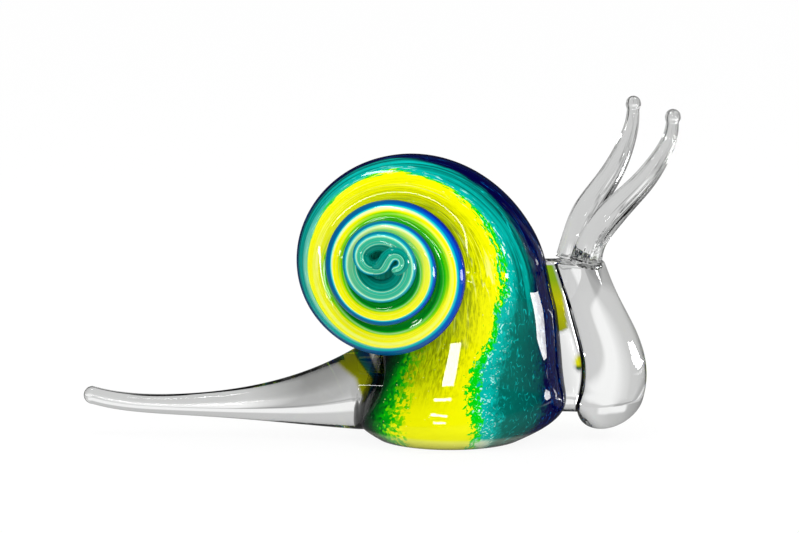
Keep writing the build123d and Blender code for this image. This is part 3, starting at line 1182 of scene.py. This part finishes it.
@dataclass
class Head:
    """The clear head: a pear-shaped bulb and the web that joins it to the shell, in mm."""

    top_z: float = 73.0
    bottom_z: float = 3.4
    half_width: float = 13.4
    half_depth: float = 13.4
    front_x: float = 67.6
    neck_x: float = 52.4
    web_root_x: float = 30.0
    web_half_depth: float = 4.6
    web_low: float = 0.1
    bottom_round: float = 12.0
    top_round: float = 1.2
    blend: float = 7.0
    rings: int = 200
    around: int = 200
    web_edge: float = 0.15
    crowding: float = 1.9
    # (height, place between neck and front, half width, half depth), as shares
    shares: Rows = (
        (0.00, 0.62, 0.95, 0.97), (0.20, 0.92, 0.99, 1.00), (0.40, 0.96, 0.98, 0.99),
        (0.60, 0.70, 0.93, 0.94), (0.80, 0.33, 0.81, 0.86), (1.00, 0.00, 0.75, 0.98),
    )
    # Painted refractions of the shell: a wedge beside the shell by height, a spot in the web at (x,
    # z), and a rim along the lower edge, which comes in by x, by distance aside and by height
    wedge_line: Rows = ((44, 46.0), (46, 49.0), (60, 46.5), (72, 42.5))
    wedge_hues: Rows = ((44, 0.55), (52, 0.7), (66, 1.0))
    wedge_heights: Point = (43.5, 45.0, 72.0)
    wedge_edge: float = 1.2
    spot_centre: Span = (52.6, 31.5)
    spot_sizes: Span = (2.6, 4.6)
    spot_edge: Span = (1.0, 0.6)
    spot_hues: Rows = ((28, 0.2), (29.5, 0.4), (31, 0.8))
    rim_hues: Rows = ((44, 0.0), (50, 0.1), (56, 0.28))
    rim_limits: Rows = ((66.0, 58.0), (10.5, 3.5), (13.0, 10.0))
    hue_levels: Span = (40.0, 20.0)

    def build(self) -> Mesh:
        """The head's mesh.

        A ring's radius at angle a from its front is (bulb^p + web^p)^(1/p), where the bulb is an
        ellipse, 1 / sqrt((cos a / width)^2 + (sin a / depth)^2), and the web is a strip towards
        the shell, half its thickness / |sin a|, no longer than its root. Near the top and the
        bottom both shrink as a round edge does.

        Returns:
            The mesh.
        """
        rise = np.linspace(0, np.pi, self.rings)
        height = (1 - np.cos(rise)) / 2
        table = np.array(self.shares)
        place, width, depth = spline(table[:, 0], table[:, 1:], height).T
        x = self.neck_x + (self.front_x - self.neck_x) * place
        z = self.bottom_z + (self.top_z - self.bottom_z) * height
        above, below = z - self.bottom_z, self.top_z - z
        low = np.maximum(0, self.bottom_round - above)
        inset = self.bottom_round - np.sqrt(self.bottom_round**2 - low**2)
        high = np.maximum(0, self.top_round - below)
        inset += self.top_round - np.sqrt(self.top_round**2 - high**2)
        a = (width * self.half_width - inset)[:, None]
        b = (depth * self.half_depth - inset)[:, None]

        half = np.linspace(0, 1, self.around // 2, endpoint=False)
        front = np.pi * (1 - (1 - half) ** self.crowding)
        angles = np.concatenate([front, 2 * np.pi - np.concatenate([[np.pi], front[:0:-1]])])
        x, z, cos, sin = x[:, None], z[:, None], np.cos(angles), np.sin(angles)
        bulb = 1 / np.sqrt((cos / a) ** 2 + (sin / b) ** 2)
        web_share = share_of(height, self.web_low, self.web_low + self.web_edge)[:, None]
        thick = self.web_half_depth * np.sqrt(web_share * (2 - web_share))
        span = (x - self.web_root_x) / np.maximum(TINY, -cos)
        web = np.where(cos < 0, np.minimum(thick / np.maximum(TINY, np.abs(sin)), span), 0)
        radius = (bulb**self.blend + web**self.blend) ** (1 / self.blend)
        rings = rows(x + radius * cos, -radius * sin, z)
        mesh = tube_mesh("head_glass", rings)
        set_drawn(mesh, angles, self.half_width, z[:, 0])
        # The shell's colours are painted in as refractions: a lime wedge beside it, a yellow spot
        # and a blue lower edge
        at, aside, up = np.moveaxis(rings, -1, 0)
        start, full, end = self.wedge_heights
        wedge = share_of(looked_up(up, self.wedge_line) - at, 0, self.wedge_edge)
        wedge *= share_of(up, start, full) * (up < end)
        away = (rings[:, :, ::2] - self.spot_centre) / self.spot_sizes
        spot = share_of(np.linalg.norm(away, axis=-1), *self.spot_edge)
        limits = zip((at, np.abs(aside), up), self.rim_limits)
        rim = np.prod([share_of(values, *limit) for values, limit in limits], axis=0)
        upper, lower = self.hue_levels
        hues = looked_up(up, self.wedge_hues), looked_up(up, self.spot_hues)
        hue = np.select([up > upper, up > lower], hues, looked_up(at, self.rim_hues))
        set_painted_refraction(mesh, np.maximum(np.maximum(wedge, spot) * (aside < 0), rim), hue)
        return mesh


class Side(Enum):
    """The side of the snail that a tentacle is on: +1 is its left, away from the viewer."""

    LEFT = 1
    RIGHT = -1


@dataclass
class Tentacle:
    """A clear tentacle, drawn out from the top of the head, with a bead at its tip, in mm."""

    side: Side
    base_x: float
    reach: float
    height: float
    base_z: float = 73.0
    base_radius: float = 6.6
    half_gap: float = 0.2
    spread: float = 7.0
    bead: float = 3.0
    sink: float = 0.4
    rings: int = 220
    around: int = 64
    joining: float = 6.0
    end_radius: float = 0.02
    # (reach, height, radius), as shares
    shares: Rows = (
        (0.00, 0.00, 1.00), (0.07, 0.14, 0.86), (0.24, 0.30, 0.88), (0.45, 0.43, 0.79),
        (0.68, 0.57, 0.69), (0.88, 0.74, 0.55), (0.98, 0.88, 0.43), (1.00, 1.00, 0.36),
    )

    def build(self) -> Mesh:
        """The tentacle's mesh.

        Its line is a cubic spline through the shares. The radius is the larger of the stem's and
        of the bead's, sqrt(bead^2 - distance^2), softly joined.

        Returns:
            The mesh.
        """
        reach, height, radius = np.array(self.shares).T
        base_y = self.side.value * (self.base_radius + self.half_gap)
        line = rows(
            self.base_x + self.reach * reach,
            base_y + self.side.value * self.spread * height,
            self.base_z + self.height * height,
        )
        run = run_along(line)
        end = run[-1] + self.bead
        wanted = end * np.sin(np.linspace(0, np.pi / 2, self.rings))
        within = np.minimum(wanted, run[-1])
        curve = spline(run, np.column_stack([line, self.base_radius * radius]), within)
        rising = within + TINY * np.arange(self.rings)
        along = unit(np.gradient(curve[:, :3], rising, axis=0))
        stopped = wanted > run[-1]
        along[stopped] = along[~stopped][-2]
        centres = curve[:, :3] + along * (wanted - within)[:, None]
        centres[:, 2] -= np.maximum(0, 1 - wanted) * self.sink
        offset = wanted - run[-1]
        bead = np.sqrt(np.maximum(0, self.bead**2 - offset**2))
        stem = np.where(stopped, 0, curve[:, 3])
        size = (stem**self.joining + bead**self.joining) ** (1 / self.joining)
        size[-1] = self.end_radius
        across = unit(np.cross(along, [0.0, 1.0, 0.0]))
        side = np.cross(along, across)
        angles = circle(self.around)
        rings = rings_about(centres, side * size[:, None], across * size[:, None], angles)
        mesh = tube_mesh(f"{self.side.name.lower()}_tentacle_glass", rings)
        set_drawn(mesh, angles, self.base_radius, wanted)
        return mesh


@dataclass(frozen=True)
class Pane:
    """A bright upright pane that is only mirrored in the glass, and lights nothing, in mm.

    Its outline has (y, z) at a distance along X (axis 0), or (x, z) at one along Y (axis 1). The
    spot is the middle and the radius of a soft light, where the pane isn't bright all over.
    """

    name: str
    axis: int
    away: float
    outline: Rows
    strength: float = 22.0
    spot: Limits | None = None
    through: bool = False

    def build(self) -> None:
        """Puts the pane on the stage."""
        corners = np.insert(np.array(self.outline, float), self.axis, self.away, axis=1) * MM
        mesh = sheet_mesh(self.name, corners.tolist())
        made, g = new_material(self.name)
        bright = self.strength
        if self.spot:
            *centre, radius = (value * MM for value in self.spot)
            away = g.vector("DISTANCE", g.where(), centre, output="Value")
            bright = g.ease(away, 0.0, radius, self.strength, 0.0)
        g.surface(g.node("ShaderNodeEmission", Color=WHITE, Strength=bright))
        mesh.materials.append(made)
        pane = linked(self.name, mesh)
        pane.visible_camera = pane.visible_diffuse = pane.visible_shadow = False
        pane.visible_transmission = self.through


@dataclass(frozen=True)
class Lamp:
    """An oblong soft lamp that faces the middle of the snail, in metres and watts."""

    name: str
    place: Point
    size: Span
    power: float
    mirrored: bool = True
    aim: Point = (-0.02, 0.0, 0.07)

    def build(self) -> None:
        """Puts the lamp into the scene."""
        light = bpy.data.lights.new(self.name, "AREA")
        light.shape = "RECTANGLE"
        light.size, light.size_y = self.size
        light.energy = self.power
        lamp = aimed(self.name, light, Vector(self.place), Vector(self.aim))
        lamp.visible_transmission = False
        lamp.visible_glossy = self.mirrored


@dataclass(frozen=True)
class Studio:
    """A pale floor, a white backdrop, soft lamps and bright panes, in metres but for the panes."""

    floor_half: float = 6.0
    floor_color: Color = (0.93, 0.93, 0.93, 1.0)
    floor_seen: float = 0.92
    ambient: float = 1.0
    grey: float = 0.64
    # The paper on the floor behind the snail, as seen through the glass, and the shade on it
    paper_middle: float = -0.02
    paper_depths: Limits = (0.035, 0.07, 0.22, 0.3)
    paper_half: Limits = (0.115, 0.15, 1.0, 0.0)
    shade_span: Limits = (-0.1, 0.1, 0.0, 1.0)
    shade: Rows = (
        (0.0, 1.0), (0.1, 1.0), (0.25, 0.44), (0.4, 0.44), (0.55, 0.62), (0.72, 0.62),
        (0.87, 1.0), (1.0, 1.0),
    )
    # The floor in mirrors, by distance
    sheen: Limits = (0.09, 0.24, 0.14, 0.02)
    # The room by direction: in mirrors, and a white sheet in grey through the glass
    room: Limits = (-0.2, 0.9, 0.03, 0.07)
    sheet_aside: Limits = (0.24, 0.34, 1.0, 0.0)
    sheet_above: Limits = (0.12, 0.22, 1.0, 0.0)
    sheet_ahead: Limits = (0.0, 0.2, 0.0, 1.0)
    grey_ahead: Limits = (-0.2, 0.6, 0.6, 1.0)
    grey_aside: Limits = (-0.8, 0.4, 0.36, 0.72)
    panes: tuple[Pane, ...] = (
        Pane("window", 1, -900, (
            (-380, 86), (-299, 73), (-190, 57), (-190, 105), (-284, 121), (-380, 138))),
        Pane("pane", 1, -900, (
            (-470, 255), (-315, 216), (-190, 180), (-190, 205), (-315, 240), (-470, 285))),
        Pane("doorway", 0, 250, (
            (-51, 75), (-62, 31), (-20, 14), (150, 14), (70, 30), (17, 73)), through=True),
        Pane("card", 0, 250, (
            (-130, 0.5), (-90, 5), (60, 9), (170, 5), (170, 0.5)), 3.0, (250, 20, 1, 130)),
        Pane("streak", 1, -900, ((-166, 240), (47, 190), (47, 220), (-166, 270)), 12.0),
        Pane("spot", 1, -600, ((600, 280), (700, 280), (700, 390), (600, 390))),
    )
    lamps: tuple[Lamp, ...] = (
        Lamp("overhead", (-0.3, -0.3, 1.2), (0.5, 0.12), 3),
        Lamp("side", (0.65, -0.27, 0.75), (0.14, 0.3), 2.5, mirrored=False),
    )
    lens: float = 100.0
    sensor: float = 36.0
    target: Point = (-0.0204, 0.0, 0.0705)
    tilt: float = 10.0
    distance: float = 0.9

    @staticmethod
    def rays(g: Graph) -> tuple[Socket, Socket, Socket]:
        """Whether a ray is seen by the camera, mirrored by a surface or passed through glass.

        Args:
            g: the graph that asks.

        Returns:
            The three sockets. A ray through smooth glass counts as glossy too, so it is taken off.
        """
        path = g.node("ShaderNodeLightPath").outputs
        through = path["Is Transmission Ray"]
        mirrored = g.most(g.math("SUBTRACT", path["Is Glossy Ray"], through), 0.0)
        return path["Is Camera Ray"], mirrored, through

    def floor(self) -> None:
        """The floor: lit, so that it keeps the shadow, and white where it is seen."""
        h = self.floor_half
        mesh = sheet_mesh("floor", [(-h, -h, 0), (h, -h, 0), (h, h, 0), (-h, h, 0)])
        made, g = new_material("pale_floor")
        camera, mirrored, through = self.rays(g)
        x, y, _ = g.axes(g.where())
        aside = g.math("ABSOLUTE", g.math("SUBTRACT", x, self.paper_middle))
        sheet = g.times(g.zone(y, self.paper_depths), g.ease(aside, *self.paper_half))
        # The shell shades the paper beside it
        shade = tuple((at, (level, level, level, 1.0)) for at, level in self.shade)
        shade = g.ramp(g.remap(x, *self.shade_span), shade)
        under = g.times(g.remap(sheet, 0.0, 1.0, self.grey, 1.0), shade)
        away = g.vector("LENGTH", g.where(), output="Value")
        sheen = g.times(mirrored, g.ease(away, *self.sheen))
        bright = g.most(g.plus(g.times(under, through), sheen), camera)
        lit = g.node("ShaderNodeBsdfDiffuse", Color=self.floor_color).outputs[0]
        white = g.node("ShaderNodeEmission", Color=WHITE, Strength=bright).outputs[0]
        seen = g.times(g.most(camera, through, mirrored), self.floor_seen)
        g.surface(g.node("ShaderNodeMixShader", i0=seen, i1=lit, i2=white))
        mesh.materials.append(made)
        linked("floor", mesh)

    def world(self) -> None:
        """The room: white behind the snail, greyer overhead and behind the camera."""
        world = bpy.data.worlds.new("studio")
        bpy.context.scene.world = world
        world.use_nodes = True
        g = Graph(world.node_tree)
        camera, mirrored, through = self.rays(g)
        x, y, z = g.axes(g.where("Generated"))
        # Mirrored: a dark room, a little lighter behind the snail
        room = g.ease(y, *self.room)
        # Through the glass: a white backdrop as wide and high as a sheet of paper, in a grey room
        aside = g.ease(g.math("ABSOLUTE", x), *self.sheet_aside)
        above = g.ease(g.math("ABSOLUTE", z), *self.sheet_above)
        sheet = g.times(aside, above, g.remap(y, *self.sheet_ahead))
        grey = g.times(g.ease(y, *self.grey_ahead), g.remap(x, *self.grey_aside))
        passed = g.times(g.blend(sheet, grey, 1.0), through)
        shown = g.most(g.plus(g.times(room, mirrored), passed), camera)
        strength = g.blend(g.most(mirrored, through, camera), self.ambient, shown)
        background = g.node("ShaderNodeBackground", Color=WHITE, Strength=strength)
        g.node("ShaderNodeOutputWorld", Surface=background.outputs[0])

    def camera(self) -> None:
        """The camera of the photograph: from the snail's right side, 10 degrees up."""
        data = bpy.data.cameras.new("camera")
        data.lens, data.sensor_width = self.lens, self.sensor
        target, up = Vector(self.target), np.radians(self.tilt)
        place = target + self.distance * Vector((0.0, -np.cos(up), np.sin(up)))
        bpy.context.scene.camera = aimed("camera", data, place, target)

    def build(self) -> None:
        """Sets the stage, the lamps and the camera."""
        self.floor()
        self.world()
        for part in (*self.panes, *self.lamps):
            part.build()
        self.camera()
        bpy.context.scene.view_settings.view_transform = "Standard"


def main() -> None:
    """Builds the snail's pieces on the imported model, and the studio round them."""
    logging.basicConfig(level=logging.INFO, format="%(name)s: %(message)s")
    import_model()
    polish = fire_polish()
    cased = CasedGlass().material(polish)
    clear = ClearGlass().material(polish)
    lined = ClearGlass("drawn_glass", across=0.3, line_depth=0.0016).material(polish)
    nodes = ("clear_casing", "colour_layer", "core_gather")
    add_piece(Shell(Rope()).build(), cased, "coloured_glass", *nodes)
    add_piece(Apex(Rope()).build(), cased, "coloured_glass")
    add_piece(Tail().build(), clear, "clear_glass", "tail")
    add_piece(Head().build(), clear, "clear_glass", "head")
    right = Tentacle(Side.RIGHT, 54.3, 33.2, 60.0)
    left = Tentacle(Side.LEFT, 50.0, 24.7, 62.5)
    add_piece(right.build(), lined, "clear_glass", "right_tentacle")
    add_piece(left.build(), lined, "clear_glass", "left_tentacle")
    Studio().build()


if __name__ == "__main__":
    main()
